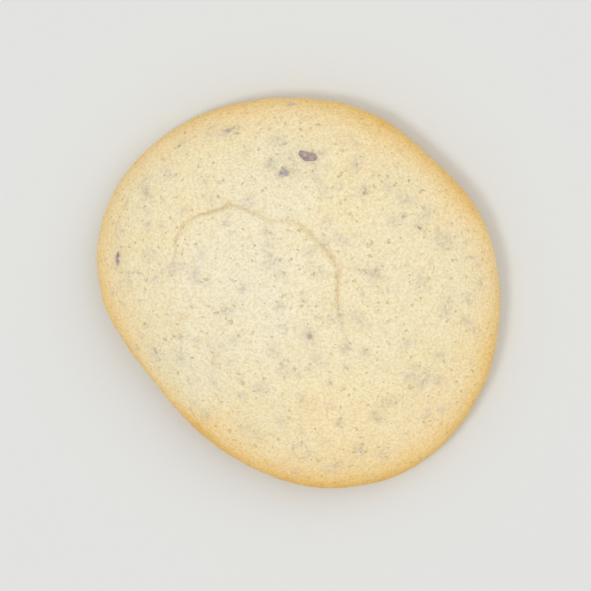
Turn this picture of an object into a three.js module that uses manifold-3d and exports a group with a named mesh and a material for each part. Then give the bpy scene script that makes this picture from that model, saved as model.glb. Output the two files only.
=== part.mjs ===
// A round walnut drop cookie, in millimetres, +Z up, standing on its flat base.
// Soft dough was dropped on a tray and baked. It spread to an uneven round, rose to a broad low dome with a
// rounded rim, and kept a flat underside. Shallow creases show where the last of the dough folded over, and
// chopped walnut sits in the skin. The origin is on the base, at the middle of the cookie's width and depth.
import * as THREE from "three";
import { mergeVertices } from "three/addons/utils/BufferGeometryUtils.js";
import Module from "manifold-3d";

const DEG = Math.PI / 180;
const TURN = 2 * Math.PI;
const GOLDEN_ANGLE = Math.PI * (3 - Math.sqrt(5));

// ---- Driving dimensions ----
const MEAN_RADIUS = 23.2; // of the outline seen from above, before its flats
const HEIGHT = 13; // from the base to the top of the dome
const RIM_HEIGHT = 2.5; // where the cookie is widest
const UNDERCUT = 2.0; // how far the rim curves in, from its widest line down to the base

// The outline's lobes: how many, how high as a share of the radius, and the direction of one in degrees
const LOBES = [
  { count: 2, share: 0.059, peak: 144 },
  { count: 3, share: 0.029, peak: 48 },
];
// Its flats, where the dough spread less: direction and width in degrees, and depth as a share of the radius
const FLATS = [
  { direction: 46, width: 18, share: 0.046 },
  { direction: 208, width: 22, share: 0.044 },
];

// The dome is mostly an ellipse, with some of a power curve, which is flatter on top, and it leans a little.
const ELLIPSE_SHARE = 0.85;
const DOME_POWER = 2.6;
const LEAN = { x: -0.035, y: 0.022 }; // extra rise for each mm from the middle

// Gentle swells of the skin, in octaves that each have half the height and length of the last
const SWELL = { height: 0.17, length: 17, octaves: 3 };
const CALM_RIM_POWER = 6; // power of the radius by which swells and creases die out at the rim

// Creases: the points each one runs through, and its depth in the middle of its run
const CREASES = [
  {
    depth: 0.36,
    route: [
      [-14.4, 3.6],
      [-13.6, 7.8],
      [-9.4, 9.7],
      [-7.1, 10.2],
      [-2.9, 8.7],
      [0.2, 8.1],
      [4.5, 3.6],
      [4.9, -1.7],
      [6.0, -6.4],
    ],
  },
  { depth: 0.24, route: [[3.6, 4.6], [6.4, 2.8], [8.6, 2.5], [11.2, 1.6]] },
];
const CREASE_WIDTH = 0.6; // from the middle of a crease to where it has a third of its depth
const SHOULDER_WIDTH = 2.0; // the same for the low swelling along both its sides
const SHOULDER_SHARE = 0.3; // height of that swelling, as a share of the depth
const CREASE_STEPS = 48;

// Chopped walnut that stands out: [x, y, length, width, heading in degrees]
const LARGE_CRUMBS = [
  [1.2, 15.8, 2.4, 1.3, -40],
  [-1.5, 14.0, 1.5, 1.1, 38],
  [6.7, 14.9, 1.4, 0.9, 60],
  [14.1, 7.5, 1.1, 0.8, 0],
  [7.8, 11.8, 1.2, 0.8, 65],
  [8.3, 2.4, 1.4, 0.8, -10],
  [5.1, -2.4, 1.3, 0.8, 80],
  [17.2, -1.8, 1.5, 1.0, 70],
  [14.5, -10.3, 1.9, 0.9, 50],
  [7.2, -18.6, 1.3, 0.8, -70],
  [-8.4, 18.6, 1.6, 0.9, 20],
  [-14.3, 3.0, 1.6, 1.1, 0],
  [-21.2, 3.6, 2.0, 0.9, 80],
  [1.5, -4.8, 1.5, 1.0, -60],
  [-8.1, -1.8, 1.4, 1.0, 30],
  [-4.2, -10.9, 1.2, 0.9, 15],
];
const SMALL_CRUMBS = { count: 60, shortest: 0.7, longest: 1.5, narrowest: 0.5, widest: 0.9, seed: 2027 };
const CRUMB_RISE = 0.3; // how far a crumb stands out of the skin, as a share of its width
const CRUMB_SPACING = 1.5; // no small crumb lies closer than this to another
const CRUMB_MARGIN = 0.93; // crumbs keep inside this share of the outline
const SLOPE_STEP = 0.01; // share and angle over which the skin's slope under a crumb is measured

// Fineness of the skin
const DOME_RINGS = 31;
const RIM_RINGS = 4;
const RIM_CROWDING = 0.42; // how much closer the dome's rings lie at the rim, where it is steep
const SECTORS = 6; // each ring of the dome has this many more points than the ring inside it

// ---- Form ----

function outlineRadius(angle) {
  let radius = MEAN_RADIUS;
  for (const { count, share, peak } of LOBES)
    radius += MEAN_RADIUS * share * Math.cos(count * (angle - peak * DEG));
  for (const { direction, width, share } of FLATS) {
    const turned = 1 - Math.cos(angle - direction * DEG);
    radius -= MEAN_RADIUS * share * Math.exp((-2 * turned) / (width * DEG) ** 2);
  }
  return radius;
}

// Share of the dome's rise that is left, at a share of the way from its middle to the rim
function domeShare(share) {
  const ellipse = Math.sqrt(1 - share * share);
  return ELLIPSE_SHARE * ellipse + (1 - ELLIPSE_SHARE) * (1 - share ** DOME_POWER);
}

function swell(x, y) {
  let sum = 0;
  for (let octave = 0; octave < SWELL.octaves; octave++) {
    const wave = (TURN / SWELL.length) * 2 ** octave;
    const heading = octave * GOLDEN_ANGLE;
    const along = x * Math.cos(heading) + y * Math.sin(heading);
    const across = y * Math.cos(heading) - x * Math.sin(heading);
    sum += (Math.sin(wave * along + octave) * Math.cos(wave * across - octave)) / 2 ** octave;
  }
  return SWELL.height * sum;
}

function hump(distance, width) {
  return Math.exp(-((distance / width) ** 2));
}

// Points along a crease, each with its depth, which fades out to nothing at both ends
function creaseRun({ depth, route }) {
  const curve = new THREE.SplineCurve(route.map(([x, y]) => new THREE.Vector2(x, y)));
  return curve.getSpacedPoints(CREASE_STEPS).map((point, i) => {
    return { point, depth: depth * Math.sqrt(Math.sin((Math.PI * i) / CREASE_STEPS)) };
  });
}

const creaseRuns = CREASES.map(creaseRun);

// Height that the creases add at a place: a groove along each, between low shoulders
function creases(x, y) {
  const place = new THREE.Vector2(x, y);
  let height = 0;
  for (const run of creaseRuns) {
    let nearest = run[0];
    for (const step of run)
      if (place.distanceTo(step.point) < place.distanceTo(nearest.point)) nearest = step;
    const distance = place.distanceTo(nearest.point);
    const relief = SHOULDER_SHARE * hump(distance, SHOULDER_WIDTH) - hump(distance, CREASE_WIDTH);
    height += nearest.depth * relief;
  }
  return height;
}

// A point of the dome, from its middle (share 0) to its widest line (share 1)
function domePoint(share, angle) {
  const x = share * outlineRadius(angle) * Math.cos(angle);
  const y = share * outlineRadius(angle) * Math.sin(angle);
  const unevenness = LEAN.x * x + LEAN.y * y + swell(x, y) + creases(x, y);
  const rise = (HEIGHT - RIM_HEIGHT) * domeShare(share);
  return new THREE.Vector3(x, y, RIM_HEIGHT + rise + (1 - share ** CALM_RIM_POWER) * unevenness);
}

// A point of the rim below its widest line (share 0), down to the edge of the base (share 1)
function rimPoint(share, angle) {
  const radius = outlineRadius(angle) - UNDERCUT * (1 - Math.cos((share * Math.PI) / 2));
  const z = RIM_HEIGHT * (1 - Math.sin((share * Math.PI) / 2));
  return new THREE.Vector3(radius * Math.cos(angle), radius * Math.sin(angle), z);
}

// ---- Skin ----

function addRing(points, count, pointAt) {
  const start = points.length;
  for (let i = 0; i < count; i++) points.push(pointAt((TURN * i) / count));
  return (i) => start + (i % count);
}

// The dome's rings grow by one point a sector, so its triangles are alike from the middle to the rim. Below
// them come the rim's rings, all of one count, and then a fan for the flat base.
function skinGeometry() {
  const points = [];
  const faces = [];
  let inner = addRing(points, 1, () => domePoint(0, 0));
  for (let ring = 1; ring <= DOME_RINGS; ring++) {
    const even = ring / DOME_RINGS;
    const share = even * (1 + RIM_CROWDING * (1 - even * even));
    const outer = addRing(points, SECTORS * ring, (angle) => domePoint(share, angle));
    for (let sector = 0; sector < SECTORS; sector++) {
      for (let step = 0; step < ring; step++) {
        const near = sector * (ring - 1) + step;
        const far = sector * ring + step;
        faces.push(inner(near), outer(far), outer(far + 1));
        if (step < ring - 1) faces.push(inner(near), outer(far + 1), inner(near + 1));
      }
    }
    inner = outer;
  }
  const around = SECTORS * DOME_RINGS;
  let upper = inner;
  for (let ring = 1; ring <= RIM_RINGS; ring++) {
    const lower = addRing(points, around, (angle) => rimPoint(ring / RIM_RINGS, angle));
    for (let i = 0; i < around; i++) {
      faces.push(upper(i), lower(i), lower(i + 1));
      faces.push(upper(i), lower(i + 1), upper(i + 1));
    }
    upper = lower;
  }
  const middle = addRing(points, 1, () => new THREE.Vector3(0, 0, 0));
  for (let i = 0; i < around; i++) faces.push(middle(0), upper(i + 1), upper(i));

  return new THREE.BufferGeometry().setFromPoints(points).setIndex(faces);
}

// ---- Walnut crumbs ----

// Draws from 0 to 1 that are the same on every run
function seededDraws(seed) {
  const multiplier = 48271;
  const modulus = 2 ** 31 - 1;
  let state = seed;
  return () => {
    state = (state * multiplier) % modulus;
    return state / modulus;
  };
}

// Where each crumb lies: the large ones as listed, the small ones at seeded random
function crumbPlaces() {
  const places = LARGE_CRUMBS.map(([x, y, length, width, heading]) => {
    return { x, y, length, width, heading: heading * DEG };
  });
  const { count, shortest, longest, narrowest, widest, seed } = SMALL_CRUMBS;
  const draw = seededDraws(seed);
  for (let i = 0; i < count; i++) {
    const share = CRUMB_MARGIN * Math.sqrt(draw());
    const angle = TURN * draw();
    const length = shortest + (longest - shortest) * draw() ** 2;
    const width = length * (narrowest + (widest - narrowest) * draw());
    const x = share * outlineRadius(angle) * Math.cos(angle);
    const y = share * outlineRadius(angle) * Math.sin(angle);
    const heading = TURN * draw();
    const isClear = places.every((other) => Math.hypot(other.x - x, other.y - y) > CRUMB_SPACING);
    if (isClear) places.push({ x, y, length, width, heading });
  }
  return places;
}

// One crumb: a flattened angular shard, half sunk in the skin and lying along it
function crumbGeometry({ x, y, length, width, heading }) {
  const angle = Math.atan2(y, x);
  const share = Math.hypot(x, y) / outlineRadius(angle);
  const spot = domePoint(share, angle);
  const outward = domePoint(share + SLOPE_STEP, angle).sub(spot);
  const around = domePoint(share, angle + SLOPE_STEP).sub(spot);
  const normal = outward.cross(around).normalize();
  const along = new THREE.Vector3(Math.cos(heading), Math.sin(heading), 0);
  along.addScaledVector(normal, -along.dot(normal)).normalize();
  const across = new THREE.Vector3().crossVectors(normal, along);
  const shard = new THREE.IcosahedronGeometry(1, 0);
  shard.scale(length / 2, width / 2, width * CRUMB_RISE);
  shard.applyMatrix4(new THREE.Matrix4().makeBasis(along, across, normal).setPosition(spot));
  return shard;
}

// ---- Joining ----

const wasm = await Module();
wasm.setup();

function solidOf(geometry) {
  const bare = geometry.clone();
  bare.deleteAttribute("normal");
  bare.deleteAttribute("uv");
  const merged = mergeVertices(bare);
  const vertProperties = new Float32Array(merged.attributes.position.array);
  const triVerts = new Uint32Array(merged.index.array);
  return new wasm.Manifold(new wasm.Mesh({ numProp: 3, vertProperties, triVerts }));
}

function geometryOf(solid) {
  const { vertProperties, triVerts } = solid.getMesh();
  const geometry = new THREE.BufferGeometry();
  geometry.setAttribute("position", new THREE.BufferAttribute(vertProperties, 3));
  geometry.setIndex(new THREE.BufferAttribute(triVerts, 1));
  return geometry;
}

const crumbs = crumbPlaces().map((place) => solidOf(crumbGeometry(place)));
const geometry = geometryOf(crumbs.reduce((whole, crumb) => whole.add(crumb), solidOf(skinGeometry())));
geometry.computeBoundingBox();
const middle = geometry.boundingBox.getCenter(new THREE.Vector3());
geometry.translate(-middle.x, -middle.y, 0);
geometry.computeVertexNormals();

const bakedDough = new THREE.MeshStandardMaterial({ color: 0xeddcb2, roughness: 0.85, metalness: 0 });
const cookie = new THREE.Mesh(geometry, bakedDough);
cookie.name = "cookie";

const walnutCookie = new THREE.Group();
walnutCookie.add(cookie);

export default walnutCookie;
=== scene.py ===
import math

import bmesh
import bpy
import numpy as np
from mathutils import Matrix, Vector, noise


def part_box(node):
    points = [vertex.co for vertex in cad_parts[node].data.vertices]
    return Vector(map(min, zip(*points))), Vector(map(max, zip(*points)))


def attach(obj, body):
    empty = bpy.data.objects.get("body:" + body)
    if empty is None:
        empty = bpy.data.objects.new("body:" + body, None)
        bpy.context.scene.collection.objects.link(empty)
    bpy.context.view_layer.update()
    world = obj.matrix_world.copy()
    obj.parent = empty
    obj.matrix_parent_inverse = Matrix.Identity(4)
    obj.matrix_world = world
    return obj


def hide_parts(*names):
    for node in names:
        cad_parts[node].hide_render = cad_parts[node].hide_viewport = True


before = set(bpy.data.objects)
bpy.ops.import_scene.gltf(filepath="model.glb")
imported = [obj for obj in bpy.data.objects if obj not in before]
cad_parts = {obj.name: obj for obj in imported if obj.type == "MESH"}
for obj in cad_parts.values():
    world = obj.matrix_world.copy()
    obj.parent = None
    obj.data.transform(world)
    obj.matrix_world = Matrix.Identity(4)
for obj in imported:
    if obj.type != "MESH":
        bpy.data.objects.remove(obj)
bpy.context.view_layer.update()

MM = 0.001
TURN = 2 * math.pi
GOLDEN_ANGLE = math.pi * (3 - math.sqrt(5))

# ---- The solid's form, as in the part's source ----
MEAN_RADIUS = 23.2
HEIGHT = 13
RIM_HEIGHT = 2.5
UNDERCUT = 2.0
LOBES = [(2, 0.059, 144), (3, 0.029, 48)]  # count, share of the radius, peak in degrees
FLATS = [(46, 18, 0.046), (208, 22, 0.044)]  # direction and width in degrees, share of the radius
ELLIPSE_SHARE = 0.85
DOME_POWER = 2.6
LEAN = (-0.035, 0.022)
SWELL_HEIGHT = 0.17
SWELL_LENGTH = 17
SWELL_OCTAVES = 3
CALM_RIM_POWER = 6

# Fold lines: depth, width from the middle to a third of the depth, and the points that each one runs
# through. The first two are the solid's, but finer, and the others are hairlines.
CREASES = [
    (0.28, 0.32, [(-14.4, 3.6), (-13.6, 7.8), (-9.4, 9.7), (-7.1, 10.2), (-2.9, 8.7),
                  (0.2, 8.1), (4.5, 3.6), (4.9, -1.7), (6, -6.4)]),
    (0.16, 0.26, [(3.6, 4.6), (6.4, 2.8), (8.6, 2.5), (11.2, 1.6)]),
    (0.07, 0.18, [(-6.3, 10.2), (-5.2, 11.6), (-4.9, 13.1)]),
    (0.07, 0.18, [(9.8, 14.6), (8.9, 17.2), (9.4, 19.3)]),
    (0.06, 0.18, [(-14.6, 9.8), (-17.0, 10.6), (-18.7, 12.4)]),
    (0.06, 0.18, [(-2.0, -12.2), (-1.4, -14.6), (-2.1, -17.0)]),
]
CREASE_STEPS = 48
CREASE_REACH = 0.4  # the hairline at the bottom of a crease is only looked for this near to it
FULL_CREASE_DEPTH = 0.3  # a crease of this depth is fully coloured
CREASE_WANE = 0.45  # how much fainter a crease is past halfway along
WANE_PLACE = 0.56  # share of its length
WANE_REACH = 0.12
LIP_SHARE = 0.6  # height of the raised lip along a crease's inner side, as a share of the depth
LIP_WIDTH = 2.2
LIP_EDGE = 0.25  # how far across the crease the lip takes to rise

# Chopped walnut that stands out: x, y, length, width, heading in degrees, tone from brown (0) to pale (1),
# and how much of it the dough covers
LARGE_CRUMBS = [
    (1.2, 15.8, 2.4, 1.3, -40, 0.55, 0.05),
    (-1.5, 14.0, 1.5, 1.1, 38, 0.85, 0.15),
    (6.7, 14.9, 1.4, 0.9, 60, 0.8, 0.45),
    (14.1, 7.5, 1.1, 0.8, 0, 0.12, 0.4),
    (7.8, 11.8, 1.2, 0.8, 65, 0.3, 0.3),
    (8.3, 2.4, 1.4, 0.8, -10, 0.3, 0.6),
    (5.1, -2.4, 1.3, 0.8, 80, 0.3, 0.4),
    (17.2, -1.8, 1.5, 1.0, 70, 0.35, 0.5),
    (14.5, -10.3, 1.9, 0.9, 50, 0.45, 0.35),
    (7.2, -18.6, 1.3, 0.8, -70, 0.7, 0.4),
    (-8.4, 18.6, 1.6, 0.9, 20, 0.6, 0.35),
    (-14.3, 3.0, 1.6, 1.1, 0, 0.75, 0.55),
    (-21.2, 3.6, 2.0, 0.9, 80, 0.5, 0.25),
    (1.5, -4.8, 1.5, 1.0, -60, 0.55, 0.3),
    (-8.1, -1.8, 1.4, 1.0, 30, 0.7, 0.55),
    (-4.2, -10.9, 1.2, 0.9, 15, 0.05, 0.55),
]
SMALL_CRUMBS = 60
SMALL_CRUMB_LENGTHS = (0.7, 1.5)
SMALL_CRUMB_WIDTHS = (0.5, 0.9)
SMALL_CRUMB_COVERS = (0.5, 1.0)
SMALL_CRUMB_SEED = 2027
CRUMB_RISE = 0.3
CRUMB_SPACING = 1.5
CRUMB_MARGIN = 0.93

# ---- Finer relief and marks, which only the looks have ----
NOISE_SHIFT = (7.3, 3.1, 5.7)  # from one noise to the next, so that no two are alike
WAVER = 0.24  # how far marks are bent out of their plain shapes
WAVER_LENGTH = 1.7
WAVER_SEEDS = (1, 2)
LUMP_HEIGHT = 0.1
LUMP_LENGTH = 3.4
LUMP_SEED = 3
GRAIN_HEIGHT = 0.06
GRAIN_LENGTH = 0.9
GRAIN_SEED = 5
BASE_ROUGHNESS = 0.03

PITS = {"count": 150, "sizes": (0.12, 0.32), "margin": 0.98, "seed": 31}
PIT_STRETCH = 1.0  # how long the roundest pits are, in widths
PIT_DEPTH_SHARE = 0.4
# Pits are tinted darker tan: painted shade in them.
PIT_SHADE = 0.45
SMUDGES = {"count": 130, "sizes": (0.35, 1.3), "margin": 0.93, "seed": 59}  # walnut just under the skin
SEEN_SMUDGES = [  # x, y and size of those that the photo shows one by one
    (12.1, 8.7, 0.45),
    (16.1, 7.1, 0.45),
    (5.7, -6.2, 0.6),
    (-13.8, -5.2, 0.6),
    (4.7, -15.1, 0.5),
    (-2.1, -15.1, 0.5),
    (-1.4, 21.8, 0.6),
    (-3.0, 15.0, 0.8),
    (-0.8, 14.9, 0.5),
    (-6.1, 0.6, 0.5),
    (-8.3, 8.2, 0.4),
]
SEEN_SMUDGE_STRENGTH = 0.75
SMUDGE_STRETCH = 1.2
SMUDGE_HEIGHT = 0.04
SMUDGE_STAINS = (0.25, 0.6)
TAN_SMUDGES = 0.25  # share of them that are tan
SPECKS = {"count": 210, "sizes": (0.18, 0.55), "margin": 0.97, "seed": 47}
SPECK_WIDTHS = (0.35, 0.85)
SPECK_COVER = 0.55
BLISTERS = [(0.1, -18.6, 0.95)]  # x, y and radius of a ring-shaped mark
BLISTER_WIDTH = 0.32
BLISTER_HEIGHT = 0.09
BLISTER_STAIN = 0.35

BED_HEIGHT = 0.07  # how high the dough swells up to a crumb
BED_REACH = 1.7  # in half-sizes of the crumb
BED_STAIN = 0.45
GAP_DEPTH = 0.14  # of the gap along one side of a crumb
GAP_PLACE = 1.0
GAP_WIDTH = 0.22
LAP = 0.35  # how much more the dough covers a crumb's edge than its middle
CRUMB_SINK = 0.45  # how much lower a crumb sits when it is fully covered, as a share of its width
SPECK_RISE = 0.3
SPECK_SINK = 0.15

SHARD_FINENESS = {"speck": 2, "small": 4, "large": 5}  # subdivisions of the ball that each is cut from
SHARD_CUTS = 5
SHARD_ROUGHNESS = 0.3  # share of the size, before the sides are cut
SHARD_NOISE_LENGTH = 0.8
SHARD_GRAIN = 0.07  # share of the size, after that
SHARD_GRAIN_LENGTH = 0.25
CUT_DEPTHS = (0.45, 0.75)

# How far each place is baked, from pale (0) to tan (1), at shares of the way from the dome's middle to its
# widest line. The tan near the rim is partly browning and partly painted shade.
BAKE_SHARES = (0, 0.5, 0.76, 0.88, 0.945, 1)
BAKES_AND_SHADING = (0.2, 0.21, 0.27, 0.37, 0.53, 0.72)
# Some sides are darker and more golden, partly from baking and partly as painted shade: lobes' count,
# amount, peak in degrees, and how closely they keep to the rim
BAKE_AND_SHADING_LOBES = [
    (1, 0.03, 330, 1.5),
    (1, 0.06, 257, 5),
    (2, 0.09, 62, 5),
    (4, 0.025, 45, 9),
]
# Broad patches that are paler or more golden: x, y, radius and amount. The pale one low on the left is
# partly painted light, brightening a steep flank that the lamps leave darker.
BAKE_AND_SHADING_PATCHES = [
    (-7.0, 0.0, 8.5, -0.16),
    (-3.0, 13.0, 5.5, -0.14),
    (14.0, 14.5, 4.5, -0.05),
    (20.5, 3.0, 5.5, -0.12),
    (5.5, -13.5, 6.5, 0.055),
    (-14.5, -10.5, 5.5, -0.2),
]
FALL_SHARES = (0, 0.35, 0.8, 1)  # of the way from the widest line down to the edge of the base
FALL_BAKES = (0.72, 0.6, 0.62, 0.88)
BASE_BAKE = 0.74
BASE_BAKE_POWER = 6  # how closely the darker edge of the base keeps to that edge

# ---- Fineness of the mesh ----
DOME_RINGS = 150
RIM_RINGS = 12
BASE_RINGS = 12
RIM_CROWDING = 0.42
SECTORS = 6


def seeded_draws(seed):
    """Draws from 0 to 1 that are the same on every run, as in the part's source."""
    multiplier = 48271
    modulus = 2**31 - 1
    state = seed
    while True:
        state = (state * multiplier) % modulus
        yield state / modulus


def between(limits, share):
    low, high = limits
    return low + (high - low) * share


# ---- Form ----


def outline_radius(angle):
    radius = MEAN_RADIUS
    for count, share, peak in LOBES:
        radius = radius + MEAN_RADIUS * share * np.cos(count * (angle - math.radians(peak)))
    for direction, width, share in FLATS:
        turned = 1 - np.cos(angle - math.radians(direction))
        radius = radius - MEAN_RADIUS * share * np.exp(-2 * turned / math.radians(width) ** 2)
    return radius


def dome_share(share):
    ellipse = np.sqrt(np.maximum(0, 1 - share * share))
    return ELLIPSE_SHARE * ellipse + (1 - ELLIPSE_SHARE) * (1 - share**DOME_POWER)


def swell(x, y):
    total = 0
    for octave in range(SWELL_OCTAVES):
        wave = TURN / SWELL_LENGTH * 2**octave
        heading = octave * GOLDEN_ANGLE
        along = x * math.cos(heading) + y * math.sin(heading)
        across = y * math.cos(heading) - x * math.sin(heading)
        total = total + np.sin(wave * along + octave) * np.cos(wave * across - octave) / 2**octave
    return SWELL_HEIGHT * total


def hump(distance, width):
    return np.exp(-((distance / width) ** 2))


def noise_at(points, length, seed):
    """Smooth noise from about -1 to 1, of that wavelength, at each point."""
    shift = seed * Vector(NOISE_SHIFT)
    return np.array([noise.noise(Vector(p) / length + shift) for p in points])


def layered_noise(points, length, seed):
    return noise_at(points, length, seed) + noise_at(points, length / 2, seed + 1) / 2


def wavering(x, y):
    """The places, bent a little, so that a mark laid out on them has uneven edges."""
    flat = np.stack([x, y, np.zeros_like(x)], axis=1)
    bend_x, bend_y = (WAVER * layered_noise(flat, WAVER_LENGTH, seed) for seed in WAVER_SEEDS)
    return x + bend_x, y + bend_y


def smooth_route(route):
    """Points along the smooth curve through a route's points."""
    ends = [route[0], *route, route[-1]]
    line = []
    for step in range(CREASE_STEPS + 1):
        place = step / CREASE_STEPS * (len(route) - 1)
        piece = min(int(place), len(route) - 2)
        t = place - piece
        a, b, c, d = (np.array(point, dtype=float) for point in ends[piece : piece + 4])
        curve = 2 * b + (c - a) * t + (2 * a - 5 * b + 4 * c - d) * t**2 + (3 * b - a - 3 * c + d) * t**3
        line.append(curve / 2)
    return np.array(line)


def measure_along(x, y, line):
    """Each place's distance to the right of a line and from it, and how far along the line that is."""
    distance = np.full_like(x, np.inf)
    to_right = np.zeros_like(x)
    run = np.zeros_like(x)
    for i, (start, end) in enumerate(zip(line, line[1:])):
        step = end - start
        t = np.clip(((x - start[0]) * step[0] + (y - start[1]) * step[1]) / (step @ step), 0, 1)
        gap_x = x - start[0] - t * step[0]
        gap_y = y - start[1] - t * step[1]
        gap = np.hypot(gap_x, gap_y)
        closer = gap < distance
        distance = np.where(closer, gap, distance)
        to_right = np.where(closer, (gap_x * step[1] - gap_y * step[0]) / np.hypot(*step), to_right)
        run = np.where(closer, (i + t) / (len(line) - 1), run)
    return to_right, distance, run


def crease_relief(x, y):
    """Height that the creases add, nearness to a crease, from 0 to 1, and distance to the right of it."""
    place_x, place_y = wavering(x, y)
    height = np.zeros_like(x)
    nearness = np.zeros_like(x)
    across = np.full_like(x, LIP_WIDTH)
    for depth, width, route in CREASES:
        to_right, distance, run = measure_along(place_x, place_y, smooth_route(route))
        fade = np.sqrt(np.maximum(0, np.sin(math.pi * run)))
        fade = fade * (1 - CREASE_WANE * hump(run - WANE_PLACE, WANE_REACH))
        lip = LIP_SHARE * hump(distance, LIP_WIDTH) * (1 + np.tanh(to_right / LIP_EDGE)) / 2
        height += depth * fade * (lip - hump(distance, width))
        across = np.where(distance < np.abs(across), to_right, across)
        strength = min(1, depth / FULL_CREASE_DEPTH) * fade
        nearness = np.maximum(nearness, strength * hump(distance, CREASE_REACH))
    return height, nearness, across


# ---- Where the walnut and the other marks lie ----


def crumb(x, y, length, width, heading, tone, cover):
    return {
        "x": x,
        "y": y,
        "length": length,
        "width": width,
        "heading": heading,
        "tone": tone,
        "cover": cover,
    }


def crumb_places():
    """The crumbs that the solid has, drawn by the same rule, each with a tone and a cover for its looks."""
    places = []
    for x, y, length, width, degrees, tone, cover in LARGE_CRUMBS:
        places.append(crumb(x, y, length, width, math.radians(degrees), tone, cover))
    draws = seeded_draws(SMALL_CRUMB_SEED)
    looks = seeded_draws(SMALL_CRUMB_SEED + 1)
    for _ in range(SMALL_CRUMBS):
        share = CRUMB_MARGIN * math.sqrt(next(draws))
        angle = TURN * next(draws)
        length = between(SMALL_CRUMB_LENGTHS, next(draws) ** 2)
        width = length * between(SMALL_CRUMB_WIDTHS, next(draws))
        x = share * outline_radius(angle) * math.cos(angle)
        y = share * outline_radius(angle) * math.sin(angle)
        heading = TURN * next(draws)
        if all(math.hypot(other["x"] - x, other["y"] - y) > CRUMB_SPACING for other in places):
            tone = next(looks)
            cover = between(SMALL_CRUMB_COVERS, next(looks))
            places.append(crumb(x, y, length, width, heading, tone, cover))
    return places


def scattered(count, sizes, margin, seed):
    """Small marks scattered over the dome, mostly small ones: x, y, size and a draw of their own."""
    draws = seeded_draws(seed)
    marks = []
    for _ in range(count):
        share = margin * math.sqrt(next(draws))
        angle = TURN * next(draws)
        size = between(sizes, next(draws) ** 2)
        radius = share * outline_radius(angle)
        marks.append((radius * math.cos(angle), radius * math.sin(angle), size, next(draws)))
    return marks


# ---- The dough ----


def ring_faces(inner, outer, ring):
    """Triangles between ring - 1 and ring of the dome, which has one more point in each sector."""
    faces = []
    for sector in range(SECTORS):
        for step in range(ring):
            near = sector * (ring - 1) + step
            far = sector * ring + step
            faces.append((inner(near), outer(far), outer(far + 1)))
            if step < ring - 1:
                faces.append((inner(near), outer(far + 1), inner(near + 1)))
    return faces


def band_faces(upper, lower, around):
    faces = []
    for i in range(around):
        faces.append((upper(i), lower(i), lower(i + 1)))
        faces.append((upper(i), lower(i + 1), upper(i + 1)))
    return faces


class Skin:
    """The dough's points, ring by ring from the dome's middle to the base's middle, and its faces."""

    def __init__(self):
        self.share = []  # of the way from the dome's middle to its widest line
        self.angle = []
        self.fall = []  # share of the way from the widest line down to the edge of the base
        self.inset = []  # share of the way from the edge of the base to its middle
        self.faces = []
        self.lay()
        self.share = np.array(self.share)
        self.angle = np.array(self.angle)
        self.fall = np.array(self.fall)
        self.inset = np.array(self.inset)
        self.on_dome = self.fall == 0
        self.on_base = self.fall == 1
        self.form()

    def add_ring(self, count, share, fall=0.0, inset=0.0):
        start = len(self.share)
        self.share += [share] * count
        self.fall += [fall] * count
        self.inset += [inset] * count
        self.angle += [TURN * i / count for i in range(count)]
        return lambda i: start + i % count

    def lay(self):
        inner = self.add_ring(1, 0.0)
        for ring in range(1, DOME_RINGS + 1):
            even = ring / DOME_RINGS
            outer = self.add_ring(SECTORS * ring, even * (1 + RIM_CROWDING * (1 - even * even)))
            self.faces += ring_faces(inner, outer, ring)
            inner = outer
        around = SECTORS * DOME_RINGS
        for ring in range(1, RIM_RINGS + 1):
            lower = self.add_ring(around, 1.0, fall=ring / RIM_RINGS)
            self.faces += band_faces(inner, lower, around)
            inner = lower
        for ring in range(1, BASE_RINGS):
            lower = self.add_ring(around, 1.0, fall=1.0, inset=ring / BASE_RINGS)
            self.faces += band_faces(inner, lower, around)
            inner = lower
        middle = self.add_ring(1, 1.0, fall=1.0, inset=1.0)
        self.faces += [(middle(0), inner(i + 1), inner(i)) for i in range(around)]

    def form(self):
        """Places every point on the solid's form, with the creases."""
        bend = self.fall * math.pi / 2
        radius = self.share * outline_radius(self.angle) - UNDERCUT * (1 - np.cos(bend))
        radius = radius * (1 - self.inset)
        x = radius * np.cos(self.angle)
        y = radius * np.sin(self.angle)
        crease, self.crease_nearness, self.across_crease = crease_relief(x, y)
        uneven = LEAN[0] * x + LEAN[1] * y + swell(x, y) + crease
        dome = (HEIGHT - RIM_HEIGHT) * dome_share(self.share) + (1 - self.share**CALM_RIM_POWER) * uneven
        z = RIM_HEIGHT * (1 - np.sin(bend)) + self.on_dome * dome
        self.points = np.stack([x, y, z], axis=1)
        self.normals = self.find_normals()
        self.wavering = wavering(x, y)

    def find_normals(self):
        faces = np.array(self.faces)
        corners = self.points[faces]
        across = np.cross(corners[:, 1] - corners[:, 0], corners[:, 2] - corners[:, 0])
        total = np.zeros_like(self.points)
        for corner in range(3):
            np.add.at(total, faces[:, corner], across)
        return total / np.linalg.norm(total, axis=1, keepdims=True)

    def nearest(self, x, y):
        """The number of the dome's point nearest a place."""
        away = np.hypot(self.points[:, 0] - x, self.points[:, 1] - y)
        return np.argmin(np.where(self.on_dome, away, np.inf))

    def seat(self, x, y, heading):
        """The dome's point nearest a place, and axes there: along the heading, across it and outward."""
        nearest = self.nearest(x, y)
        normal = self.normals[nearest]
        along = np.array([math.cos(heading), math.sin(heading), 0])
        along = along - (along @ normal) * normal
        along = along / np.linalg.norm(along)
        return self.points[nearest], np.array([along, np.cross(normal, along), normal])

    def mark_distance(self, x, y, heading=0.0, stretch=1.0):
        """Distance from a mark's middle, longer across the heading where the mark is stretched."""
        gap_x = self.wavering[0] - x
        gap_y = self.wavering[1] - y
        gap_z = self.points[:, 2] - self.points[self.nearest(x, y), 2]
        along = gap_x * math.cos(heading) + gap_y * math.sin(heading)
        across = gap_y * math.cos(heading) - gap_x * math.sin(heading)
        flat = np.hypot(along, across * stretch)
        return np.where(self.on_dome, np.hypot(flat, gap_z), np.inf)


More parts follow.
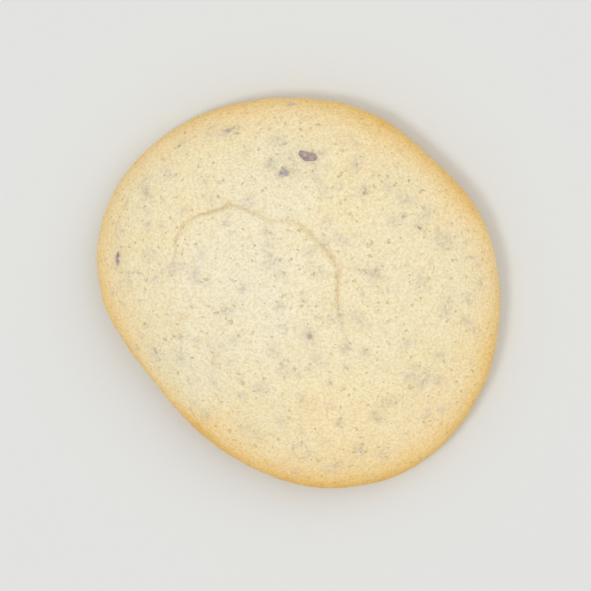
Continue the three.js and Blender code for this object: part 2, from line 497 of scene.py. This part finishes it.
def dough_finish(skin, crumbs):
    """Height, walnut stain, and tan that the finer relief gives each point: tan smudges, and painted shade
    in the pits.
    """
    lumps = layered_noise(skin.points, LUMP_LENGTH, LUMP_SEED)
    grain = layered_noise(skin.points, GRAIN_LENGTH, GRAIN_SEED)
    relief = LUMP_HEIGHT * lumps + GRAIN_HEIGHT * grain
    stain = np.zeros(len(skin.points))
    tan_and_pit_shade = np.zeros(len(skin.points))

    for x, y, size, draw in scattered(**PITS):
        pit = hump(skin.mark_distance(x, y, TURN * draw, PIT_STRETCH + draw), size)
        relief = relief - PIT_DEPTH_SHARE * size * pit
        # Painted shade: the bottom of each pit is tinted darker tan.
        tan_and_pit_shade = np.maximum(tan_and_pit_shade, PIT_SHADE * pit)

    for x, y, size, draw in scattered(**SMUDGES):
        smudge = hump(skin.mark_distance(x, y, TURN * draw, SMUDGE_STRETCH + draw), size)
        relief = relief + SMUDGE_HEIGHT * smudge
        strength = between(SMUDGE_STAINS, draw)
        if draw < TAN_SMUDGES:
            tan_and_pit_shade = np.maximum(tan_and_pit_shade, strength * smudge)
        else:
            stain = np.maximum(stain, strength * smudge)

    for x, y, size in SEEN_SMUDGES:
        stain = np.maximum(stain, SEEN_SMUDGE_STRENGTH * hump(skin.mark_distance(x, y), size))

    for x, y, radius in BLISTERS:
        ring = hump(skin.mark_distance(x, y) - radius, BLISTER_WIDTH)
        relief = relief + BLISTER_HEIGHT * ring
        stain = np.maximum(stain, BLISTER_STAIN * ring)

    for place in crumbs:
        spot, axes = skin.seat(place["x"], place["y"], place["heading"])
        gap = skin.points - spot
        u = gap @ axes[0] / (place["length"] / 2)
        v = gap @ axes[1] / (place["width"] / 2)
        far = np.where(skin.on_dome, np.hypot(u, v), np.inf)
        one_side = (1 + v / np.maximum(1, np.hypot(u, v))) / 2
        relief = relief + BED_HEIGHT * hump(far, BED_REACH)
        relief = relief - GAP_DEPTH * (1 - place["cover"]) * one_side * hump(far - GAP_PLACE, GAP_WIDTH)
        stain = np.maximum(stain, BED_STAIN * hump(far, BED_REACH))
    return relief, stain, tan_and_pit_shade, lumps + grain


# Baking from pale (0) to tan (1), with painted shade near the rim and on some sides, and painted light on
# one flank.
def dough_bake_and_shading(skin):
    bake_and_shading = np.interp(skin.share, BAKE_SHARES, BAKES_AND_SHADING)
    for count, amount, peak, power in BAKE_AND_SHADING_LOBES:
        lobe = amount * np.cos(count * (skin.angle - math.radians(peak)))
        bake_and_shading = bake_and_shading + lobe * skin.share**power * (1 - skin.inset)
    for x, y, radius, amount in BAKE_AND_SHADING_PATCHES:
        bake_and_shading = bake_and_shading + amount * hump(skin.mark_distance(x, y) ** 2, radius**2)
    bake_and_shading = bake_and_shading + np.interp(skin.fall, FALL_SHARES, FALL_BAKES) - FALL_BAKES[0]
    return bake_and_shading + (BASE_BAKE - FALL_BAKES[-1]) * (1 - (1 - skin.inset) ** BASE_BAKE_POWER)


def dough_mesh(skin, crumbs):
    """The finished dough's points, and its attributes. The skin keeps the finished points."""
    relief, stain, tan_and_pit_shade, roughness = dough_finish(skin, crumbs)
    points = skin.points + skin.normals * np.where(skin.on_base, 0, relief)[:, None]
    base_height = BASE_ROUGHNESS * np.maximum(0, roughness) * (skin.inset > 0)
    points[:, 2] = np.where(skin.on_base, base_height, np.maximum(points[:, 2], 0))
    skin.points = points
    attributes = {
        "bake_and_shading": dough_bake_and_shading(skin),
        "stain": stain,
        "tan_and_pit_shade": tan_and_pit_shade,
        "crease": skin.crease_nearness * skin.on_dome,
        "across": skin.across_crease,
        "under": skin.on_base,
    }
    return points, skin.faces, attributes


def make_piece(name, points, faces, attributes, smooth):
    mesh = bpy.data.meshes.new(name)
    mesh.from_pydata((np.asarray(points) * MM).tolist(), [], faces)
    mesh.polygons.foreach_set("use_smooth", [smooth] * len(faces))
    for label, values in attributes.items():
        layer = mesh.attributes.new(label, "FLOAT", "POINT")
        layer.data.foreach_set("value", np.asarray(values, dtype=np.float32))
    mesh.validate()
    piece = bpy.data.objects.new(name, mesh)
    bpy.context.scene.collection.objects.link(piece)
    return piece


# ---- The walnut ----


def shard_template(subdivisions):
    form = bmesh.new()
    bmesh.ops.create_icosphere(form, subdivisions=subdivisions, radius=1)
    points = np.array([v.co[:] for v in form.verts])
    faces = [tuple(v.index for v in f.verts) for f in form.faces]
    form.free()
    return points, faces


def chopped(points, draws):
    """The template as a rough lump with flat sides cut, and which of its points lie on a cut."""
    rough = 1 + SHARD_ROUGHNESS * noise_at(points, SHARD_NOISE_LENGTH, TURN * next(draws))
    points = points * rough[:, None]
    is_cut = np.zeros(len(points), dtype=bool)
    for _ in range(SHARD_CUTS):
        height = 2 * next(draws) - 1
        turn = TURN * next(draws)
        flat = math.sqrt(1 - height * height)
        side = np.array([flat * math.cos(turn), flat * math.sin(turn), height])
        over = np.maximum(0, points @ side - between(CUT_DEPTHS, next(draws)))
        points = points - over[:, None] * side
        is_cut = is_cut | (over > 0)
    grain = 1 + SHARD_GRAIN * layered_noise(points, SHARD_GRAIN_LENGTH, TURN * next(draws))
    return points * grain[:, None], is_cut


class Walnut:
    """All the shards in one mesh."""

    def __init__(self, skin):
        self.skin = skin
        self.draws = seeded_draws(SPECKS["seed"])
        self.points = []
        self.faces = []
        self.attributes = {"tone": [], "flesh": [], "cover": []}

    def add_shard(self, template, place, rise, sink):
        spot, axes = self.skin.seat(place["x"], place["y"], place["heading"])
        lump, is_cut = chopped(template[0], self.draws)
        shape = lump * (place["length"] / 2, place["width"] / 2, rise)
        start = len(self.points)
        self.points += (spot - sink * axes[2] + shape @ axes).tolist()
        self.faces += [tuple(start + i for i in face) for face in template[1]]
        self.attributes["tone"] += [place["tone"]] * len(shape)
        self.attributes["flesh"] += is_cut.tolist()
        lapped = place["cover"] + LAP * (lump[:, 0] ** 2 + lump[:, 1] ** 2)
        self.attributes["cover"] += lapped.tolist()


def walnut_mesh(skin, crumbs):
    walnut = Walnut(skin)
    templates = {kind: shard_template(subdivisions) for kind, subdivisions in SHARD_FINENESS.items()}
    for i, place in enumerate(crumbs):
        template = templates["large" if i < len(LARGE_CRUMBS) else "small"]
        sink = CRUMB_SINK * place["cover"] * place["width"]
        walnut.add_shard(template, place, place["width"] * CRUMB_RISE, sink)
    for x, y, size, draw in scattered(**SPECKS):
        speck = crumb(x, y, size, size * between(SPECK_WIDTHS, draw), TURN * draw, draw, SPECK_COVER)
        walnut.add_shard(templates["speck"], speck, SPECK_RISE * size, SPECK_SINK * size)
    return walnut.points, walnut.faces, walnut.attributes


# ---- Materials ----


# The curve by which a picture stores brightness: straight up to its knee, and a power above that
FULL_VALUE = 255
CURVE_KNEE = 0.04045
CURVE_SLOPE = 12.92
CURVE_OFFSET = 0.055
CURVE_POWER = 2.4


def linear(value):
    stored = value / FULL_VALUE
    if stored <= CURVE_KNEE:
        return stored / CURVE_SLOPE
    return ((stored + CURVE_OFFSET) / (1 + CURVE_OFFSET)) ** CURVE_POWER


def srgb(red, green, blue):
    """A colour given by values from 0 to 255, as in a picture, made linear and opaque."""
    return [linear(red), linear(green), linear(blue), 1]


class Finish:
    """A material, with short calls for its nodes. What they take is numbers, colours or nodes' outputs."""

    def __init__(self, name, roughness, specular):
        self.material = bpy.data.materials.new(name)
        self.material.use_nodes = True
        self.tree = self.material.node_tree
        self.shader = self.tree.nodes["Principled BSDF"]
        self.shader.inputs["Roughness"].default_value = roughness
        self.shader.inputs["Specular IOR Level"].default_value = specular

    def feed(self, socket, value):
        if isinstance(value, bpy.types.NodeSocket):
            self.tree.links.new(value, socket)
        else:
            socket.default_value = value

    def noise(self, length, detail=3.0, roughness=0.5):
        """Noise of that wavelength, in the object's own space."""
        where = self.tree.nodes.new("ShaderNodeTexCoord")
        texture = self.tree.nodes.new("ShaderNodeTexNoise")
        texture.inputs["Scale"].default_value = 1 / (length * MM)
        texture.inputs["Detail"].default_value = detail
        texture.inputs["Roughness"].default_value = roughness
        self.feed(texture.inputs["Vector"], where.outputs["Object"])
        return texture.outputs["Fac"]

    def attribute(self, name):
        node = self.tree.nodes.new("ShaderNodeAttribute")
        node.attribute_name = name
        return node.outputs["Fac"]

    def math(self, operation, *values, clamp=False):
        node = self.tree.nodes.new("ShaderNodeMath")
        node.operation = operation
        node.use_clamp = clamp
        for socket, value in zip(node.inputs, values):
            self.feed(socket, value)
        return node.outputs["Value"]

    def shifted(self, value, texture, amount):
        """The value, raised or lowered by up to half the amount."""
        return self.math("MULTIPLY_ADD", self.math("SUBTRACT", texture, 0.5), amount, value)

    def stretched(self, value, low, high):
        """0 at the low value or under it, 1 at the high one or over it."""
        return self.math("MULTIPLY_ADD", value, 1 / (high - low), -low / (high - low), clamp=True)

    def spots(self, length, limits, detail=3.0):
        """Spots of noise of that wavelength, from none at the low limit to whole at the high one."""
        return self.stretched(self.noise(length, detail), *limits)

    def ramp(self, factor, stops):
        node = self.tree.nodes.new("ShaderNodeValToRGB")
        elements = node.color_ramp.elements
        while len(elements) < len(stops):
            elements.new(1.0)
        for element, (position, colour) in zip(elements, stops):
            element.position = position
            element.color = srgb(*colour)
        self.feed(node.inputs["Fac"], factor)
        return node.outputs["Color"]

    def mix(self, blend, factor, first, second):
        node = self.tree.nodes.new("ShaderNodeMix")
        node.data_type = "RGBA"
        node.blend_type = blend
        sockets = {socket.identifier: socket for socket in node.inputs}
        self.feed(sockets["Factor_Float"], factor)
        self.feed(sockets["A_Color"], first)
        self.feed(sockets["B_Color"], second)
        return next(socket for socket in node.outputs if socket.identifier == "Result_Color")

    def tinted(self, colour, share, amount, tint):
        """The colour, turned to the tint by that share of the amount."""
        return self.mix("MIX", self.math("MULTIPLY", share, amount), colour, srgb(*tint))

    def bump(self, height, depth, under=None):
        node = self.tree.nodes.new("ShaderNodeBump")
        node.inputs["Distance"].default_value = depth * MM
        self.feed(node.inputs["Height"], height)
        if under:
            self.feed(node.inputs["Normal"], under)
        return node.outputs["Normal"]

    def finish(self, colour, normal=None):
        self.feed(self.shader.inputs["Base Color"], colour)
        if normal:
            self.feed(self.shader.inputs["Normal"], normal)
        return self.material


# The stops at 0.42 and 0.6 are brighter than the dough itself: painted light that offsets the shade on the
# dome's flanks.
DOUGH_COLOURS = [  # from pale to tan
    (0.0, (243, 235, 209)),
    (0.25, (245, 232, 194)),
    (0.42, (250, 227, 178)),
    (0.6, (249, 216, 150)),
    (0.78, (243, 197, 114)),
    (1.0, (215, 166, 90)),
]
PATCH_LENGTH = 9
PATCH_AMOUNT = 0.26  # in the baking
MOTTLE_NOISE = {"length": 1.6, "roughness": 0.6}
MOTTLE_AMOUNT = 0.14
MOTTLE_BUMP = 0.06
FINE_NOISE = {"length": 0.32, "roughness": 0.6}
# Grain tone, and painted shade in the hollows of the fine bump, which shares this noise.
FINE_GRAIN_AND_SHADE_COLOURS = [(0.35, (239, 233, 219)), (0.6, (255, 255, 255))]  # multiplied
FINE_BUMP = 0.08
TAN_AND_SHADE_COLOUR = (214, 182, 126)
TAN_AND_PIT_SHADE_AMOUNT = 0.6
STAIN_COLOUR = (180, 170, 168)
STAIN_NOISE = {"length": 0.5, "limits": (0.2, 0.7)}
UNDER_NOISE = {"length": 1.9, "limits": (0.53, 0.8)}  # stains of the base
# Pores are sunk by the bump and tinted darker: painted shade in them.
PORE_SHADE_COLOUR = (218, 186, 134)
PORE_SHADE_AMOUNT = 0.5
PORE_NOISE = {"length": 0.6, "limits": (0.68, 0.75), "detail": 1}
PORE_DEPTH = 0.08
GLOW_SHARE = 0.12  # of the light, which goes into the dough and comes out near by
GLOW_REACH = (1.0, 0.6, 0.3)  # of its red, green and blue

# The hairline at the bottom of a crease, which is painted shade in a darker tan. Its widths are half-widths
# in millimetres.
# The sides of a crease are tinted tan as painted shade.
CREASE_SIDE_SHADE = 0.25  # how much of the mark's colour its sides have
HAIRLINE_SHADE_COLOUR = (198, 160, 104)
HAIRLINE_SHADE_AMOUNT = 0.5
HAIRLINE_GAPS = {"length": 4, "limits": (0.3, 0.55)}
HAIRLINE_WIDTH = 0.02
ADDED_WIDTH = 0.26
ADDED_WIDTH_NOISE = {"length": 1.3, "limits": (0.35, 0.7)}
RAGGED_NOISE = {"length": 0.8, "detail": 5, "roughness": 0.65}
RAGGED_AMOUNT = 0.5
HAIRLINE_EDGE = (2.2, 0.3)  # how many half-widths from its middle it ends, and is at full strength


def hairline(dough):
    """How much of each place lies in the hairline at the bottom of a crease, from 0 to 1, where a darker
    tan is painted as shade.
    """
    ragged = dough.shifted(dough.attribute("across"), dough.noise(**RAGGED_NOISE), RAGGED_AMOUNT)
    width = dough.math("MULTIPLY_ADD", dough.spots(**ADDED_WIDTH_NOISE), ADDED_WIDTH, HAIRLINE_WIDTH)
    outside = dough.math("DIVIDE", dough.math("ABSOLUTE", ragged), width)
    broken = dough.math("MULTIPLY", dough.attribute("crease"), dough.spots(**HAIRLINE_GAPS))
    return dough.math("MULTIPLY", broken, dough.stretched(outside, *HAIRLINE_EDGE))


def dough_material():
    dough = Finish("baked_dough", roughness=0.85, specular=0.25)
    mottle = dough.noise(**MOTTLE_NOISE)
    fine = dough.noise(**FINE_NOISE)
    pores = dough.spots(**PORE_NOISE)
    hairline_shade = hairline(dough)

    # This value is partly baking and partly painted shade and painted light.
    bake_and_shading = dough.shifted(dough.attribute("bake_and_shading"), dough.noise(PATCH_LENGTH), PATCH_AMOUNT)
    bake_and_shading = dough.shifted(bake_and_shading, mottle, MOTTLE_AMOUNT)
    under = dough.math("MULTIPLY", dough.attribute("under"), dough.spots(**UNDER_NOISE))
    stain = dough.math("MAXIMUM", dough.attribute("stain"), under)
    stain = dough.math("MULTIPLY", stain, dough.spots(**STAIN_NOISE))

    colour = dough.ramp(bake_and_shading, DOUGH_COLOURS)
    # Tan smudges, and painted shade in the pits.
    colour = dough.tinted(colour, dough.attribute("tan_and_pit_shade"), TAN_AND_PIT_SHADE_AMOUNT, TAN_AND_SHADE_COLOUR)
    # Painted shade: a darker tan along the creases and on the line at their bottom.
    colour = dough.tinted(colour, dough.attribute("crease"), CREASE_SIDE_SHADE, TAN_AND_SHADE_COLOUR)
    colour = dough.tinted(colour, hairline_shade, HAIRLINE_SHADE_AMOUNT, HAIRLINE_SHADE_COLOUR)
    colour = dough.tinted(colour, stain, 1.0, STAIN_COLOUR)
    # Painted shade in the pores.
    colour = dough.tinted(colour, pores, PORE_SHADE_AMOUNT, PORE_SHADE_COLOUR)
    # Painted shade in the hollows of the fine bump, with grain tone.
    colour = dough.mix("MULTIPLY", 1.0, colour, dough.ramp(fine, FINE_GRAIN_AND_SHADE_COLOURS))

    dough.shader.inputs["Subsurface Weight"].default_value = GLOW_SHARE
    dough.shader.inputs["Subsurface Radius"].default_value = GLOW_REACH
    dough.shader.inputs["Subsurface Scale"].default_value = MM
    relief = dough.bump(fine, FINE_BUMP)
    relief = dough.bump(mottle, MOTTLE_BUMP, relief)
    relief = dough.bump(dough.math("MAXIMUM", hairline_shade, pores), -PORE_DEPTH, relief)
    return dough.finish(colour, relief)


WALNUT_COLOURS = [  # from brown skin to pale grey
    (0.0, (144, 106, 82)),
    (0.25, (164, 130, 106)),
    (0.5, (168, 146, 148)),
    (0.75, (184, 172, 174)),
    (1.0, (194, 190, 182)),
]
STREAK_LENGTH = 0.5
STREAK_AMOUNT = 0.9  # in the tone
STREAK_BUMP = 0.05
WALNUT_GRAIN = {"length": 0.3, "detail": 4}
WALNUT_GRAIN_COLOURS = [(0.35, (222, 216, 216)), (0.6, (255, 255, 255))]  # multiplied
FLESH_COLOUR = (204, 184, 154)
FLESH_LIMITS = (0.35, 0.9)  # of the streaks, from none of this colour on a cut side to all of it
FILM_COLOUR = (240, 225, 186)  # of the dough over a covered crumb
FILM_LENGTH = 0.9
FILM_LIMITS = (0.8, 1.1)  # of cover and noise together, from bare walnut to dough


def walnut_material():
    walnut = Finish("walnut", roughness=0.65, specular=0.3)
    streaks = walnut.noise(STREAK_LENGTH)
    tone = walnut.shifted(walnut.attribute("tone"), streaks, STREAK_AMOUNT)
    flesh = walnut.math("MULTIPLY", walnut.attribute("flesh"), walnut.stretched(streaks, *FLESH_LIMITS))
    grain = walnut.noise(**WALNUT_GRAIN)
    film = walnut.math("ADD", walnut.attribute("cover"), walnut.noise(FILM_LENGTH))

    colour = walnut.ramp(tone, WALNUT_COLOURS)
    colour = walnut.tinted(colour, flesh, 1.0, FLESH_COLOUR)
    colour = walnut.mix("MULTIPLY", 1.0, colour, walnut.ramp(grain, WALNUT_GRAIN_COLOURS))
    colour = walnut.tinted(colour, walnut.stretched(film, *FILM_LIMITS), 1.0, FILM_COLOUR)
    return walnut.finish(colour, walnut.bump(streaks, STREAK_BUMP))


FLOOR_COLOUR = (222, 223, 221)


def floor_material():
    floor = Finish("pale_floor", roughness=0.9, specular=0.1)
    return floor.finish(srgb(*FLOOR_COLOUR))


# ---- Stage ----

CAMERA_TILT = 6  # degrees off straight down
CAMERA_SIDE = 42  # the side it is tilted to, in degrees from +X towards +Y
CAMERA_DISTANCE = 650
CAMERA_REACH = 100  # how many metres away it still sees things
FRAME_WIDTH = 69  # how much the frame shows at the cookie
FLOOR_HALF_WIDTH = 3000
FLOOR_GAP = 0.02
LIGHTS = [  # name, place and size in metres, and power in watts
    ("key", (-0.34, -0.2, 1.0), 0.3, 2.7),
    ("fill", (0.5, 0.4, 0.8), 1.0, 2.3),
]
SKY_STRENGTH = 0.69


def make_floor():
    form = bmesh.new()
    bmesh.ops.create_grid(form, x_segments=1, y_segments=1, size=FLOOR_HALF_WIDTH * MM)
    mesh = bpy.data.meshes.new("floor")
    form.to_mesh(mesh)
    form.free()
    floor = bpy.data.objects.new("floor", mesh)
    floor.location.z = -FLOOR_GAP * MM
    mesh.materials.append(floor_material())
    bpy.context.scene.collection.objects.link(floor)


def make_camera(target):
    data = bpy.data.cameras.new("camera")
    data.lens = data.sensor_width * CAMERA_DISTANCE / FRAME_WIDTH
    data.clip_end = CAMERA_REACH
    camera = bpy.data.objects.new("camera", data)
    bpy.context.scene.collection.objects.link(camera)
    tilt, side = math.radians(CAMERA_TILT), math.radians(CAMERA_SIDE)
    back = Vector((math.sin(tilt) * math.cos(side), math.sin(tilt) * math.sin(side), math.cos(tilt)))
    right = Vector((0, 1, 0)).cross(back).normalized()
    turn = Matrix((right, back.cross(right), back)).transposed()
    camera.matrix_world = Matrix.Translation(target + back * CAMERA_DISTANCE * MM) @ turn.to_4x4()
    bpy.context.scene.camera = camera


def make_light(name, place, size, power):
    data = bpy.data.lights.new(name, "AREA")
    data.shape = "DISK"
    data.size = size
    data.energy = power
    light = bpy.data.objects.new(name, data)
    light.location = place
    light.rotation_mode = "QUATERNION"
    light.rotation_quaternion = (-Vector(place)).to_track_quat("-Z", "Y")
    bpy.context.scene.collection.objects.link(light)


def make_world(strength):
    world = bpy.data.worlds.new("studio")
    world.use_nodes = True
    background = world.node_tree.nodes["Background"]
    background.inputs["Color"].default_value = (1, 1, 1, 1)
    background.inputs["Strength"].default_value = strength
    bpy.context.scene.world = world


# ---- Making it ----

crumbs = crumb_places()
skin = Skin()
dough = make_piece("dough", *dough_mesh(skin, crumbs), smooth=True)
dough.data.materials.append(dough_material())
walnut = make_piece("walnut", *walnut_mesh(skin, crumbs), smooth=False)
walnut.data.materials.append(walnut_material())

# Both meshes are moved so that the dough's outline is centred on the solid's.
cad_low, cad_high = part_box("cookie")
middle = (skin.points.min(axis=0) + skin.points.max(axis=0)) / 2 * MM
shift = (Vector(cad_low) + Vector(cad_high)) / 2 - Vector(middle)
for piece in (dough, walnut):
    piece.data.transform(Matrix.Translation((shift.x, shift.y, 0)))
    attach(piece, "root")
    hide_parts("cookie")

make_floor()
make_camera(Vector((0, 0, HEIGHT * MM / 2)))
for light in LIGHTS:
    make_light(*light)
make_world(SKY_STRENGTH)
bpy.context.scene.view_settings.view_transform = "Standard"
